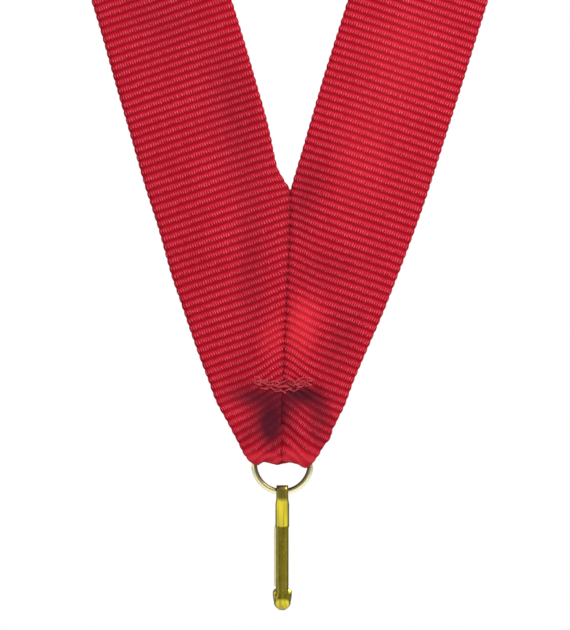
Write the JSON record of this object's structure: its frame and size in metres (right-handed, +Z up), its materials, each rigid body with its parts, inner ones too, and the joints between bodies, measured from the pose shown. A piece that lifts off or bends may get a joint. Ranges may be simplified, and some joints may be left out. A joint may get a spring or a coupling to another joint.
{
  "type": "medal neck ribbon",
  "caption": "Neck ribbon for a medal: a red ribbed strip sewn to a mitred point, whose folded tab holds a jump ring and a sprung strip hook",
  "frame": {"origin": "middle of the ribbon at the nape, where the neck carries it", "axes": "+X to the right seen from the front, +Y from the chest to the back, +Z up"},
  "size_m": [0.143, 0.102, 0.3605],
  "materials": {
    "ribbon": "ribbed weave, slight sheen",
    "thread": "spun thread",
    "ring_plating": "bright gold plating",
    "hook_plating": "bright gold plating",
    "spring_plating": "bright gold plating"
  },
  "bodies": {
    "ribbon": {"nape_ribbon": "ribbon", "left_ribbon_arm": "ribbon", "right_ribbon_arm": "ribbon", "ribbon_tab": "ribbon", "mitre_seam_thread": "thread", "tack_needle_thread": "thread", "tack_bobbin_thread": "thread"},
    "ring": {"jump_ring": "ring_plating"},
    "hook": {"hook_body": "hook_plating"},
    "gate": {"gate_leaf": "spring_plating"}
  },
  "joints": [
    {"name": "ring_swing", "type": "hinge", "parent": "ribbon", "child": "ring", "pos_m": [0, -0.09093, -0.32895], "axis": [1, 0, 0], "range_deg": [-18, 18]},
    {"name": "hook_travel", "type": "hinge", "parent": "ring", "child": "hook", "pos_m": [0, -0.09093, -0.32895], "axis": [0, 1, 0], "range_deg": [-50, 50]},
    {"name": "gate_press", "type": "hinge", "parent": "hook", "child": "gate", "pos_m": [0, -0.09172, -0.33635], "axis": [-1, 0, 0], "range_deg": [0, 8.5], "stiffness_Nm_per_rad": 0.02, "springref_deg": -2.86}
  ]
}
